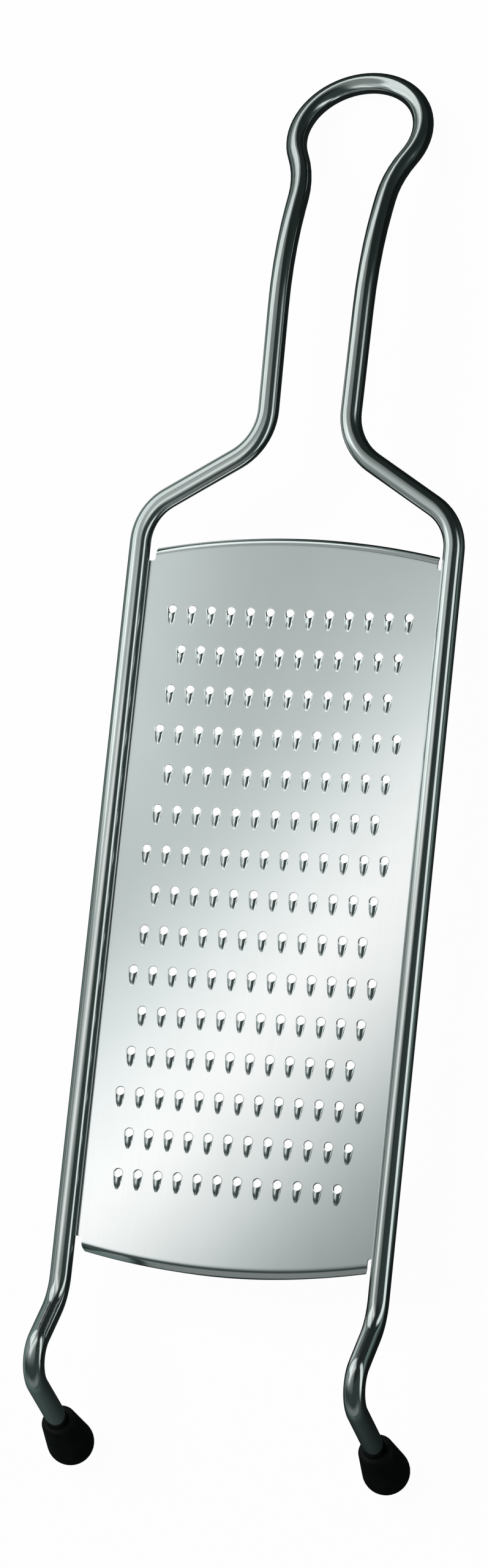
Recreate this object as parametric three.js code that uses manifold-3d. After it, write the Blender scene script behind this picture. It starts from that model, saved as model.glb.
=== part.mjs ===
// Fine grater: a pressed steel plate with rows of raised teeth, held between the rails of one bent wire
// frame that also makes the legs, the handle and the hanging loop. A rubber foot is pushed onto each end
// of the wire.
//
// Millimetres, +Z up. The grater lies level, grating side up, on its two feet and the end of its loop.
// The plate is drawn around the middle row of teeth, with X across, Y towards the handle and Z out of its
// face, and the whole part is then set down so that its origin is under the middle of its length.

import * as THREE from 'three';
import { ConvexGeometry } from 'three/addons/geometries/ConvexGeometry.js';
import { mergeVertices } from 'three/addons/utils/BufferGeometryUtils.js';
import Module from 'manifold-3d';

const wasm = await Module();
wasm.setup();

// Driving dimensions of the wire frame
const WIRE_DIAMETER = 6;
const RAIL_SPACING = 93.8; // between the axes of the two rails
const RAIL_RISE = 1; // rail axis above the face of the plate
const SHOULDER_GAP = 8.6; // from the top of the plate to the corner where the rail turns in
const SHOULDER_RUN = 21.2; // length of a shoulder along the grater
const RAIL_CORNER_RADIUS = 15;
const HANDLE_CORNER_RADIUS = 17;
const HANDLE_SPACING = 24.6; // between the wire axes at the lower end of the handle
const HANDLE_SPLAY = 0.68; // degrees that each handle wire leans outwards
const HANDLE_STRAIGHT = 39.1; // from the shoulder corner to where the handle starts to bend back
const HANDLE_BEND_RADIUS = 79;
const HANDLE_BEND_ANGLE = 23.2; // degrees
const LOOP_DISTANCE = 59.2; // from the start of that bend to the middle of the loop, along the wire
const LOOP_RADIUS = 18.8; // to the wire axis
const NECK_RADIUS = 35;
const LEG_GAP = 11.9; // from the bottom of the plate to the corner where the leg turns up
const LEG_CORNER_RADIUS = 16;
const KNEE_ANGLE = 40.6; // degrees that the leg first rises over the face
const KNEE_LENGTH = 27.5; // between the two corners of the leg
const KNEE_RADIUS = 8.1;
const SHIN_ANGLE = 64.6; // degrees that the leg then drops below the face

// Driving dimensions of the plate and its teeth
const PLATE_THICKNESS = 0.6;
const TOP_MARGIN = 18.9; // from the first row to the line where the top edge rolls back
const BOTTOM_MARGIN = 23.4; // from the last row to the line where the bottom edge rolls back
const END_ARCH = 4; // height of the arch of both ends
const ROLL_RADIUS = 3; // of the rolled-back edge, on its outside
const ROLL_DEPTH = 4.5; // of the rolled-back edge behind the face
const ROLL_CORNER_RADIUS = 3.2; // of the free corners of a rolled edge
const NOTCH_WIDTH = 1.6; // of the relief notch between a rolled edge and the rail
const NOTCH_DEPTH = 1.1; // of that notch below the end of the arch
const NOTCH_RADIUS = 0.7; // of the inner corner of that notch
const TOOTH_PITCH = 5.9;
const ROW_PITCH = 11.45;
const ROW_COUNT = 15;
const ROW_KINDS = [
  { teeth: 13, shift: 0 },
  { teeth: 12, shift: 1 / 6 },
  { teeth: 12, shift: -1 / 6 },
]; // repeated down the plate, with the shift given in pitches
const HOLE_DIAMETER = 2.5;
const NOSE_WIDTH = 2.8;
const NOSE_LENGTH = 3.75;
const NOSE_HEIGHT = 1.1;

// Driving dimensions of a foot
const BALL_DIAMETER = 13.4;
const COLLAR_DIAMETER = 10.2;
const COLLAR_DISTANCE = 12.5; // from the middle of the ball to the open end of the collar
const COLLAR_ROUND = 1.4; // of the rim at that end
const SOCKET_DEPTH = 9.5;

// Clearances
const PLATE_CLEARANCE = 0.3; // between the plate and the rails
const FOOT_CLEARANCE = 0.3; // between the wire and the socket of a foot

// Fineness of the round forms
const WIRE_SIDES = 12;
const ARC_STEP = 12; // degrees
const FOOT_SIDES = 20;
const HOLE_SIDES = 8;
const NOSE_SIDES = 3;
const ARCH_STEPS = 14;
const CORNER_STEPS = 4;
const BEND_STEPS = 5;

const degrees = Math.PI / 180;
const wireRadius = WIRE_DIAMETER / 2;
const railX = RAIL_SPACING / 2;
const rowsHalf = (ROW_COUNT - 1) / 2 * ROW_PITCH;
const plateTop = rowsHalf + TOP_MARGIN;
const plateBottom = -rowsHalf - BOTTOM_MARGIN;

// A path through given stations, so that a swept section has one ring at each of them
class StationPath extends THREE.Curve {
  constructor(stations) {
    super();
    this.stations = stations;
  }

  getPoint(t, target = new THREE.Vector3()) {
    const place = t * (this.stations.length - 1);
    return target.copy(this.stations[Math.round(place)]);
  }

  getPointAt(u, target) {
    return this.getPoint(u, target);
  }

  getTangentAt(u, target = new THREE.Vector3()) {
    const last = this.stations.length - 1;
    const here = Math.round(u * last);
    const before = this.stations[Math.max(here - 1, 0)];
    const after = this.stations[Math.min(here + 1, last)];
    const into = this.stations[here].clone().sub(before).normalize();
    const out = after.clone().sub(this.stations[here]).normalize();
    return target.copy(into).add(out).normalize();
  }
}

function sweep(shape, stations) {
  const extrudePath = new StationPath(stations);
  return new THREE.ExtrudeGeometry(shape, { steps: stations.length - 1, extrudePath });
}

// Points of the round that a bend makes at a corner, from one tangent point to the other
function cornerRound(before, corner, after, radius) {
  const back = before.clone().sub(corner).normalize();
  const ahead = after.clone().sub(corner).normalize();
  const half = back.angleTo(ahead) / 2;
  const middle = back.clone().add(ahead).normalize();
  const centre = corner.clone().addScaledVector(middle, radius / Math.sin(half));
  const first = corner.clone().addScaledVector(back, radius / Math.tan(half)).sub(centre);
  const last = corner.clone().addScaledVector(ahead, radius / Math.tan(half)).sub(centre);
  const turn = first.angleTo(last);
  const steps = Math.max(2, Math.ceil(turn / (ARC_STEP * degrees)));
  const points = [];
  for (let i = 0; i <= steps; i += 1) {
    const point = centre.clone();
    point.addScaledVector(first, Math.sin((1 - i / steps) * turn) / Math.sin(turn));
    point.addScaledVector(last, Math.sin(i / steps * turn) / Math.sin(turn));
    points.push(point);
  }
  return points;
}

// Points of an arc in a plane, between two angles
function arcPoints(centre, radius, from, to) {
  const steps = Math.max(2, Math.ceil(Math.abs(to - from) / (ARC_STEP * degrees)));
  const points = [];
  for (let i = 0; i <= steps; i += 1) {
    const angle = from + (to - from) * i / steps;
    points.push(new THREE.Vector3(
      centre.x + radius * Math.cos(angle),
      centre.y + radius * Math.sin(angle),
      centre.z,
    ));
  }
  return points;
}

// The handle is shaped flat and then bent back round a former: this takes a flat point to its bent place
const shoulderY = plateTop + SHOULDER_GAP;
const handleY = shoulderY + SHOULDER_RUN;
const bendY = handleY + HANDLE_STRAIGHT;
const bendAngle = HANDLE_BEND_ANGLE * degrees;
const bendLength = HANDLE_BEND_RADIUS * bendAngle;

function bendBack(point) {
  const past = point.y - bendY;
  if (past <= 0) return point.clone();
  const angle = Math.min(past, bendLength) / HANDLE_BEND_RADIUS;
  const rest = Math.max(past - bendLength, 0);
  return new THREE.Vector3(
    point.x,
    bendY + HANDLE_BEND_RADIUS * Math.sin(angle) + rest * Math.cos(angle),
    point.z - HANDLE_BEND_RADIUS * (1 - Math.cos(angle)) - rest * Math.sin(angle),
  );
}

// The right half of the frame above its rail, laid flat: shoulder, handle wire, neck and half of the loop
function flatHandle() {
  const railPoint = new THREE.Vector3(railX, 0, RAIL_RISE);
  const shoulder = new THREE.Vector3(railX, shoulderY, RAIL_RISE);
  const handle = new THREE.Vector3(HANDLE_SPACING / 2, handleY, RAIL_RISE);
  const lean = HANDLE_SPLAY * degrees;
  const upwards = new THREE.Vector3(Math.sin(lean), Math.cos(lean), 0);
  const outwards = new THREE.Vector3(Math.cos(lean), -Math.sin(lean), 0);
  const loop = new THREE.Vector3(0, bendY + LOOP_DISTANCE, RAIL_RISE);

  // the neck is an arc outside the handle wire that meets the wire and the loop without a corner
  const neckStart = handle.clone().addScaledVector(outwards, NECK_RADIUS);
  const fromLoop = neckStart.clone().sub(loop);
  const along = fromLoop.dot(upwards);
  const reach = (LOOP_RADIUS + NECK_RADIUS) ** 2 - fromLoop.lengthSq() + along ** 2;
  const neck = neckStart.clone().addScaledVector(upwards, -along - Math.sqrt(reach));
  const touch = neck.clone().addScaledVector(outwards, -NECK_RADIUS);
  const meeting = Math.atan2(loop.y - neck.y, loop.x - neck.x);

  const bendStations = [];
  for (let i = 0; i < BEND_STEPS; i += 1) {
    const run = HANDLE_STRAIGHT + bendLength * i / BEND_STEPS;
    const station = handle.clone().addScaledVector(upwards, run / upwards.y);
    if (station.y < touch.y - wireRadius) bendStations.push(station);
  }
  return [
    ...cornerRound(railPoint, shoulder, handle, RAIL_CORNER_RADIUS),
    ...cornerRound(shoulder, handle, bendStations[0], HANDLE_CORNER_RADIUS),
    ...bendStations,
    ...arcPoints(neck, NECK_RADIUS, Math.PI - lean, meeting).slice(0, -1),
    ...arcPoints(loop, LOOP_RADIUS, meeting - Math.PI, Math.PI / 2),
  ];
}

// The table is where the end of the loop rests, and the legs are as long as the feet need to rest there too
const handleStations = flatHandle().map(bendBack);
const loopEnd = handleStations[handleStations.length - 1];
const tableZ = loopEnd.z - wireRadius;

const kneeAngle = KNEE_ANGLE * degrees;
const shinAngle = SHIN_ANGLE * degrees;
const legCorner = new THREE.Vector3(railX, plateBottom - LEG_GAP, RAIL_RISE);
const knee = legCorner.clone().add(
  new THREE.Vector3(0, -KNEE_LENGTH * Math.cos(kneeAngle), KNEE_LENGTH * Math.sin(kneeAngle)),
);
const shinDirection = new THREE.Vector3(0, -Math.cos(shinAngle), -Math.sin(shinAngle));
const shinLength = (knee.z - tableZ - BALL_DIAMETER / 2) / Math.sin(shinAngle);
const ballCentre = knee.clone().addScaledVector(shinDirection, shinLength);
const wireEnd = ballCentre.clone().addScaledVector(
  shinDirection,
  SOCKET_DEPTH - FOOT_CLEARANCE - COLLAR_DISTANCE,
);

function wireFrame() {
  const railPoint = new THREE.Vector3(railX, 0, RAIL_RISE);
  const rightHalf = [
    wireEnd,
    ...cornerRound(wireEnd, knee, legCorner, KNEE_RADIUS),
    ...cornerRound(knee, legCorner, railPoint, LEG_CORNER_RADIUS),
    ...handleStations,
  ];
  const leftHalf = rightHalf.slice(0, -1).reverse();
  const mirrored = leftHalf.map((point) => new THREE.Vector3(-point.x, point.y, point.z));
  const section = new THREE.Shape(
    Array.from({ length: WIRE_SIDES }, (_, i) => {
      const angle = (i + 0.5) / WIRE_SIDES * 2 * Math.PI;
      return new THREE.Vector2(wireRadius * Math.cos(angle), wireRadius * Math.sin(angle));
    }),
  );
  return sweep(section, [...rightHalf, ...mirrored]);
}

// Booleans: a closed geometry as a solid, and a solid as a geometry
function toSolid(geometry) {
  const bare = geometry.clone();
  bare.deleteAttribute('normal');
  bare.deleteAttribute('uv');
  const merged = mergeVertices(bare);
  return new wasm.Manifold(new wasm.Mesh({
    numProp: 3,
    vertProperties: new Float32Array(merged.attributes.position.array),
    triVerts: new Uint32Array(merged.index.array),
  }));
}

function toGeometry(solid) {
  const mesh = solid.getMesh();
  const geometry = new THREE.BufferGeometry();
  geometry.setAttribute('position', new THREE.BufferAttribute(mesh.vertProperties, 3));
  geometry.setIndex(new THREE.BufferAttribute(mesh.triVerts, 1));
  geometry.computeVertexNormals();
  return geometry;
}

// The plate reaches the rails at the height of its face, where they are nearest to it
const railReach = Math.sqrt(wireRadius ** 2 - RAIL_RISE ** 2);
const plateHalf = railX - railReach - PLATE_CLEARANCE;
const archHalf = plateHalf - NOTCH_WIDTH;
const archRadius = (archHalf ** 2 + END_ARCH ** 2) / (2 * END_ARCH);
const archAngle = Math.asin(archHalf / archRadius);

// Places of the holes: row by row from the handle down
function toothPlaces() {
  const places = [];
  for (let row = 0; row < ROW_COUNT; row += 1) {
    const { teeth, shift } = ROW_KINDS[row % ROW_KINDS.length];
    for (let i = 0; i < teeth; i += 1) {
      const x = (i - (teeth - 1) / 2 + shift) * TOOTH_PITCH;
      places.push(new THREE.Vector2(x, rowsHalf - row * ROW_PITCH));
    }
  }
  return places;
}

// The flat of the plate stops inside the rolled edges, which lap over it by this much on each side of its end
const lap = PLATE_THICKNESS;

function flatPlate() {
  const topCentre = plateTop - archRadius;
  const bottomCentre = plateBottom + archRadius;
  const flatRadius = archRadius - lap;
  const flatAngle = Math.asin(archHalf / flatRadius);
  const topNotch = plateTop - END_ARCH - NOTCH_DEPTH;
  const bottomNotch = plateBottom + END_ARCH + NOTCH_DEPTH;
  const notchX = archHalf + NOTCH_RADIUS;
  const outline = [];

  // the inner corner of a notch, from one quarter of its circle to the next
  function notchRound(x, y, from, to) {
    for (let i = 0; i <= CORNER_STEPS; i += 1) {
      const angle = (from + (to - from) * i / CORNER_STEPS) * degrees;
      const across = NOTCH_RADIUS * Math.cos(angle);
      outline.push(new THREE.Vector2(x + across, y + NOTCH_RADIUS * Math.sin(angle)));
    }
  }

  for (let i = 0; i <= ARCH_STEPS; i += 1) {
    const angle = flatAngle * (1 - 2 * i / ARCH_STEPS);
    const rise = flatRadius * Math.cos(angle);
    outline.push(new THREE.Vector2(flatRadius * Math.sin(angle), topCentre + rise));
  }
  notchRound(-notchX, topNotch + NOTCH_RADIUS, 0, -90);
  outline.push(new THREE.Vector2(-plateHalf, topNotch));
  outline.push(new THREE.Vector2(-plateHalf, bottomNotch));
  notchRound(-notchX, bottomNotch - NOTCH_RADIUS, 90, 0);
  for (let i = 0; i <= ARCH_STEPS; i += 1) {
    const angle = flatAngle * (2 * i / ARCH_STEPS - 1);
    const rise = flatRadius * Math.cos(angle);
    outline.push(new THREE.Vector2(flatRadius * Math.sin(angle), bottomCentre - rise));
  }
  notchRound(notchX, bottomNotch - NOTCH_RADIUS, 180, 90);
  outline.push(new THREE.Vector2(plateHalf, bottomNotch));
  outline.push(new THREE.Vector2(plateHalf, topNotch));
  notchRound(notchX, topNotch + NOTCH_RADIUS, 270, 180);

  const shape = new THREE.Shape(outline);
  const geometry = new THREE.ExtrudeGeometry(shape, { depth: PLATE_THICKNESS, bevelEnabled: false });
  return geometry.translate(0, 0, -PLATE_THICKNESS);
}

// A rolled edge: a section of depth behind the face by distance outwards, swept along the arch of the end
function rolledEdge(side) {
  const inside = ROLL_RADIUS - PLATE_THICKNESS;
  const section = new THREE.Shape();
  section.moveTo(0, -2 * lap);
  section.lineTo(0, 0);
  section.absarc(ROLL_RADIUS, 0, ROLL_RADIUS, Math.PI, Math.PI / 2, true);
  section.lineTo(ROLL_DEPTH, ROLL_RADIUS);
  section.lineTo(ROLL_DEPTH, inside);
  section.absarc(ROLL_RADIUS, 0, inside, Math.PI / 2, Math.PI, false);
  section.lineTo(PLATE_THICKNESS, -2 * lap);
  const end = side > 0 ? plateTop : plateBottom;
  const stations = [];
  for (let i = 0; i <= ARCH_STEPS; i += 1) {
    const angle = side * archAngle * (2 * i / ARCH_STEPS - 1);
    const x = archRadius * Math.sin(angle);
    stations.push(new THREE.Vector3(x, end - side * archRadius * (1 - Math.cos(angle)), 0));
  }
  return sweep(section, stations);
}

// What a rolled edge is trimmed to, seen from its end: straight sides and rounded free corners
function rolledEdgeTrim(side) {
  const cornerX = archHalf - ROLL_CORNER_RADIUS;
  const cornerZ = ROLL_CORNER_RADIUS - ROLL_DEPTH;
  const outline = new THREE.Shape();
  outline.moveTo(-archHalf, PLATE_THICKNESS);
  outline.absarc(-cornerX, cornerZ, ROLL_CORNER_RADIUS, Math.PI, Math.PI * 1.5, false);
  outline.absarc(cornerX, cornerZ, ROLL_CORNER_RADIUS, Math.PI * 1.5, Math.PI * 2, false);
  outline.lineTo(archHalf, PLATE_THICKNESS);
  const depth = 2 * (END_ARCH + ROLL_RADIUS + ROLL_DEPTH);
  const options = { depth, bevelEnabled: false, curveSegments: CORNER_STEPS };
  const geometry = new THREE.ExtrudeGeometry(outline, options);
  const end = side > 0 ? plateTop : plateBottom;
  return geometry.rotateX(Math.PI / 2).translate(0, end + depth / 2, 0);
}

// A hole runs past both faces of the plate
function toothHole(place) {
  const radius = HOLE_DIAMETER / 2;
  const geometry = new THREE.CylinderGeometry(radius, radius, 3 * PLATE_THICKNESS, HOLE_SIDES);
  geometry.rotateY(Math.PI / HOLE_SIDES);
  geometry.rotateX(Math.PI / 2);
  return geometry.translate(place.x, place.y, -PLATE_THICKNESS / 2);
}

// A raised nose: half a cone lying on the plate, with its lip at the edge of the hole and its point towards
// the feet
function toothNose(place) {
  const lipY = place.y - HOLE_DIAMETER / 2;
  const tipY = lipY - NOSE_LENGTH;
  const sunk = -PLATE_THICKNESS / 2;
  const points = [
    new THREE.Vector3(place.x - NOSE_WIDTH / 2, lipY, sunk),
    new THREE.Vector3(place.x + NOSE_WIDTH / 2, lipY, sunk),
    new THREE.Vector3(place.x, tipY, sunk),
  ];
  for (let i = 0; i <= NOSE_SIDES; i += 1) {
    const angle = Math.PI * i / NOSE_SIDES;
    const x = place.x + NOSE_WIDTH / 2 * Math.cos(angle);
    points.push(new THREE.Vector3(x, lipY, NOSE_HEIGHT * Math.sin(angle)));
  }
  return new ConvexGeometry(points);
}

function gratingPlate() {
  const places = toothPlaces();
  const edges = [1, -1].map((side) => {
    const trim = toSolid(rolledEdgeTrim(side));
    return toSolid(rolledEdge(side)).intersect(trim);
  });
  const noses = places.map((place) => toSolid(toothNose(place)));
  const holes = places.map((place) => toSolid(toothHole(place)));
  const sheet = wasm.Manifold.union([toSolid(flatPlate()), ...edges, ...noses]);
  return toGeometry(sheet.subtract(wasm.Manifold.union(holes)));
}

// A foot: a ball with a tapered collar, turned about the Y axis, with the ball in the middle and the collar
// up
function rubberFoot() {
  const ballRadius = BALL_DIAMETER / 2;
  const collarRadius = COLLAR_DIAMETER / 2;
  const socketRadius = wireRadius + FOOT_CLEARANCE;
  const rimRound = Math.min(COLLAR_ROUND, 0.8 * (collarRadius - socketRadius));
  const socketFloor = COLLAR_DISTANCE - SOCKET_DEPTH;

  // the taper leaves the ball without a corner and reaches the collar at its end
  const slant = Math.hypot(COLLAR_DISTANCE, collarRadius);
  const taper = Math.acos(ballRadius / slant) - Math.atan2(COLLAR_DISTANCE, collarRadius);
  const profile = [];
  const ballSteps = 9;
  for (let i = 0; i <= ballSteps; i += 1) {
    const angle = -Math.PI / 2 + (Math.PI / 2 - taper) * i / ballSteps;
    profile.push(new THREE.Vector2(ballRadius * Math.cos(angle), ballRadius * Math.sin(angle)));
  }
  profile[0].x = 0;
  const rimSteps = 3;
  for (let i = 0; i <= rimSteps; i += 1) {
    const angle = Math.PI / 2 * i / rimSteps;
    profile.push(new THREE.Vector2(
      collarRadius - rimRound + rimRound * Math.cos(angle),
      COLLAR_DISTANCE - rimRound + rimRound * Math.sin(angle),
    ));
  }
  profile.push(new THREE.Vector2(socketRadius, COLLAR_DISTANCE));
  profile.push(new THREE.Vector2(socketRadius, socketFloor));
  profile.push(new THREE.Vector2(0, socketFloor));
  return new THREE.LatheGeometry(profile, FOOT_SIDES);
}

const polishedWire = new THREE.MeshStandardMaterial({ color: 0x8f9896, roughness: 0.2, metalness: 1 });
const satinPlate = new THREE.MeshStandardMaterial({ color: 0xb9c2c1, roughness: 0.32, metalness: 1 });
const blackRubber = new THREE.MeshStandardMaterial({ color: 0x111213, roughness: 0.7, metalness: 0 });

function named(name, geometry, material) {
  const mesh = new THREE.Mesh(geometry, material);
  mesh.name = name;
  return mesh;
}

function footAt(name, side) {
  const mesh = named(name, rubberFoot(), blackRubber.clone());
  mesh.position.set(side * ballCentre.x, ballCentre.y, ballCentre.z);
  mesh.rotation.x = shinAngle;
  return mesh;
}

const grater = new THREE.Group();
grater.add(named('wire_frame', wireFrame(), polishedWire));
grater.add(named('grating_plate', gratingPlate(), satinPlate));
grater.add(footAt('foot_left', -1));
grater.add(footAt('foot_right', 1));

// Set down on the table, with the origin under the middle of the length
const frontEnd = ballCentre.y - BALL_DIAMETER / 2;
const handleEnd = loopEnd.y + wireRadius;
grater.position.set(0, -(frontEnd + handleEnd) / 2, -tableZ);

export default grater;
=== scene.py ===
import math

import bmesh
import bpy
from mathutils import Matrix, Vector


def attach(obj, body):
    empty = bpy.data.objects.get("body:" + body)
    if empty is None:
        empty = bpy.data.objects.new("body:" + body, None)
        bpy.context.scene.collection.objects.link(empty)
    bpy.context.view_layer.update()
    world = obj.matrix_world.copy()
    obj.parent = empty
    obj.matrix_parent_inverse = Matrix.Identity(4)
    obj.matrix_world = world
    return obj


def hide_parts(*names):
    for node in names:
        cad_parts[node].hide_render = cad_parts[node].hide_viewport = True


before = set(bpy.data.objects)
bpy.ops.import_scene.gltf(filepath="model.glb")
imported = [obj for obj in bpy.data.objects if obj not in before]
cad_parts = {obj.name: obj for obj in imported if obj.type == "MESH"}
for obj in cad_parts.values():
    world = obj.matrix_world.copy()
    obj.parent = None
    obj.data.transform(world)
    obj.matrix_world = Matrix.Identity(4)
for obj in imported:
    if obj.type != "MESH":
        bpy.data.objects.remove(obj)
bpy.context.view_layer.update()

# Fine grater: a toothed steel plate in a bent wire frame with legs, handle and hanging loop, on rubber feet

# It lies on a pale table, grating side up, with X across, Y towards the handle and Z up, in metres
MM = 0.001

# Places that everything is measured from
FACE_Z = 26.514 * MM  # height of the grating face above the table
ROWS_Y = -41.476 * MM  # the middle row of teeth

# Sizes of the wire frame
WIRE_RADIUS = 3 * MM
WIRE_SIDES = 32
BEND_STEP = math.radians(5.5)
FEWEST_STEPS = 3  # in a bend of the wire or of a plate's edge
RAIL_X = 46.9 * MM
RAIL_Z = FACE_Z + 1 * MM
SHOULDER_Y = ROWS_Y + 107.65 * MM
SHOULDER_BEND = 15 * MM
HANDLE_X = 12.3 * MM
HANDLE_Y = ROWS_Y + 128.85 * MM
HANDLE_BEND = 17 * MM
HANDLE_LEAN = math.radians(0.68)
BACK_BEND_Y = ROWS_Y + 167.95 * MM
BACK_BEND = 79 * MM
BACK_ANGLE = math.radians(23.2)
LOOP_RUN = 59.15 * MM  # from the start of the back bend to the middle of the loop, along the wire
LOOP_RADIUS = 18.8 * MM
NECK_BEND = 35 * MM
LEG_Y = ROWS_Y - 115.45 * MM
LEG_BEND = 16 * MM
KNEE_LENGTH = 27.5 * MM
KNEE_ANGLE = math.radians(40.6)
KNEE_BEND = 8.36 * MM
SHIN_ANGLE = math.radians(64.6)
WIRE_END_GAP = 0.3 * MM  # between the end of the wire and the floor of its socket

# Sizes of a foot
BALL_RADIUS = 6.67 * MM
BALL_Z = 6.7 * MM
COLLAR_RADIUS = 5.08 * MM
COLLAR_REACH = 12.5 * MM  # from the middle of the ball to the open end of the collar
COLLAR_ROUND = 1.4 * MM
SOCKET_DEPTH = 9.5 * MM
SOCKET_GAP = 0.02 * MM
SOCKET_LIP = 0.15 * MM  # chamfer at the mouth of the socket
FOOT_SIDES = 36
COLLAR_STEPS = 6
BALL_STEPS = 16

# Sizes of the plate and its teeth
SHEET = 0.6 * MM
PLATE_HALF = 44.04 * MM  # the welded sides just reach the rails
ARCH_HALF = 42.17 * MM
ARCH_RISE = 4 * MM
TOP_BEND_Y = 99.05 * MM  # where the edge starts to roll back, at the top of the arch
BOTTOM_BEND_Y = -103.55 * MM
NOTCH_DEPTH = 1.1 * MM
NOTCH_FILLET = 0.7 * MM
EDGE_STEPS = 8
# Bends of the edges from the bend line outwards: the angle to turn to, the radius, and the straight run after it
TOP_LEAD = 0.553 * MM
TOP_BENDS = (
    (math.radians(45), 0.1 * MM, 0.15 * MM),
    (0.0, 0.1 * MM, 0.0),
    (math.pi / 2, 2.2 * MM, 2.135 * MM),
)
BOTTOM_LEAD = 0.5 * MM
BOTTOM_BENDS = (
    (math.radians(45), 1.6 * MM, 1.6 * MM),
    (math.pi / 2, 0.8 * MM, 2.33 * MM),
)
TOP_CORNER = 3.5 * MM  # radius of the free corners, measured along the bent sheet
BOTTOM_CORNER = 5 * MM
PITCH = 5.9 * MM
ROW_PITCH = 11.45 * MM
ROW_COUNT = 15
ROW_KINDS = ((13, 0), (12, 1 / 6), (12, -1 / 6))  # teeth in a row, and its shift in pitches
ROWS_HALF = 13 / 2 * PITCH  # half the width of the toothed part
CELL_MIDDLE = -1.85 * MM  # middle of a tooth's cell below the middle of its hole
HOLE_RADIUS = 1.27 * MM
LIP_START = 0.045 * MM  # above this height the rim of a hole is the lip of its tooth
HOLE_RIM_ROUND = 0.18 * MM  # of the upper rim of a hole, where the punch goes in
HOLE_RIM_STEPS = 3
TOOTH_SIDES = 12
RING_LIFT = 20 * MM  # a new ring of a tooth is first lifted clear of the others by this

# Distances within which points are the same place
NEAR = 0.005 * MM
SEAM = 0.004 * MM  # at the seams of a finished piece
WIRE_NEAR = 0.01 * MM  # along the wire, and where its two halves meet

# Edges are smooth up to these angles, in degrees
WIRE_SMOOTH = 50
FOOT_SMOOTH = 60
PLATE_SMOOTH = 38
HOLE_RIM_SHARP = 60  # the rim of a hole is sharper than this before it is rounded


def deselect_all():
    bpy.ops.object.select_all(action="DESELECT")


def edit(piece):
    """Opens one piece in edit mode, alone."""
    deselect_all()
    piece.select_set(True)
    bpy.context.view_layer.objects.active = piece
    bpy.ops.object.mode_set(mode="EDIT")
    bpy.ops.mesh.select_mode(type="VERT")
    bpy.ops.mesh.select_all(action="DESELECT")


def leave_edit():
    bpy.ops.object.mode_set(mode="OBJECT")


def pick(test):
    """Selects the points of the open mesh by their place."""
    mesh = bpy.context.object.data
    points = bmesh.from_edit_mesh(mesh)
    for vertex in points.verts:
        vertex.select = test(vertex.co)
    points.select_flush_mode()
    bmesh.update_edit_mesh(mesh)


def shift(x=0.0, y=0.0, z=0.0):
    bpy.ops.transform.translate(value=(x, y, z))


def stretch(x=1.0, y=1.0, z=1.0, about=(0, 0, 0)):
    bpy.ops.transform.resize(value=(x, y, z), center_override=about)


def pull_out(move=(0, 0, 0)):
    bpy.ops.mesh.extrude_region_move(TRANSFORM_OT_translate={"value": move})


def apply_modifier(piece, kind, **settings):
    deselect_all()
    piece.select_set(True)
    bpy.context.view_layer.objects.active = piece
    modifier = piece.modifiers.new(kind.title(), kind)
    for setting, value in settings.items():
        setattr(modifier, setting, value)
    bpy.ops.object.modifier_apply(modifier=modifier.name)


def new_ring(name, sides, radius, centre=(0, 0, 0), turn=(0, 0, 0)):
    """A bare ring of points at its place, to be drawn out into a piece."""
    deselect_all()
    bpy.ops.mesh.primitive_circle_add(vertices=sides, radius=radius, location=centre, rotation=turn)
    piece = bpy.context.object
    piece.name = name
    piece.data.name = name
    bpy.ops.object.transform_apply(location=True, rotation=True, scale=True)
    edit(piece)
    bpy.ops.mesh.select_all(action="SELECT")
    return piece


def copy_of(piece, name):
    twin = piece.copy()
    twin.data = piece.data.copy()
    twin.name = name
    bpy.context.scene.collection.objects.link(twin)
    return twin


def join(pieces):
    deselect_all()
    for piece in pieces:
        piece.select_set(True)
    bpy.context.view_layer.objects.active = pieces[0]
    bpy.ops.object.join()
    return pieces[0]


def finish_mesh(piece, smooth_angle):
    """Closes the seams, turns the faces outwards and smooths the round parts."""
    edit(piece)
    bpy.ops.mesh.select_all(action="SELECT")
    bpy.ops.mesh.remove_doubles(threshold=SEAM)
    bpy.ops.mesh.normals_make_consistent(inside=False)
    leave_edit()
    bpy.ops.object.shade_smooth_by_angle(angle=math.radians(smooth_angle))
    piece.select_set(False)


# Wire frame: one round wire, bent as on a bench from a foot to the top of the loop, and mirrored

LEG_CORNER = Vector((RAIL_X, LEG_Y, RAIL_Z))
KNEE = LEG_CORNER + Vector((
    0, -KNEE_LENGTH * math.cos(KNEE_ANGLE), KNEE_LENGTH * math.sin(KNEE_ANGLE),
))
SHIN_UP = Vector((0, math.cos(SHIN_ANGLE), math.sin(SHIN_ANGLE)))
SHIN_LENGTH = (KNEE.z - BALL_Z) / math.sin(SHIN_ANGLE)
BALL_CENTRE = KNEE - SHIN_UP * SHIN_LENGTH


class WireBender:
    """Draws a ring of points out into a wire, with straight runs and round bends."""

    def __init__(self, name, start, heading):
        self.at = start.copy()
        self.heading = heading.copy()
        tilt = heading.to_track_quat("Z", "Y").to_euler()
        self.wire = new_ring(name, WIRE_SIDES, WIRE_RADIUS, start, tilt)

    def straight(self, length):
        move = self.heading * length
        pull_out(move)
        self.at += move

    def bend(self, axis, angle, radius):
        centre = self.at + axis.cross(self.heading).normalized() * radius
        steps = max(FEWEST_STEPS, math.ceil(angle / BEND_STEP))
        bpy.ops.mesh.spin(steps=steps, angle=angle, center=centre, axis=-axis)
        turn = Matrix.Rotation(angle, 3, axis)
        self.at = centre + turn @ (self.at - centre)
        self.heading = turn @ self.heading


def bend_run(angle, radius):
    """Length of straight wire that a bend takes up on each side of its corner."""
    return radius * math.tan(angle / 2)


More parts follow.
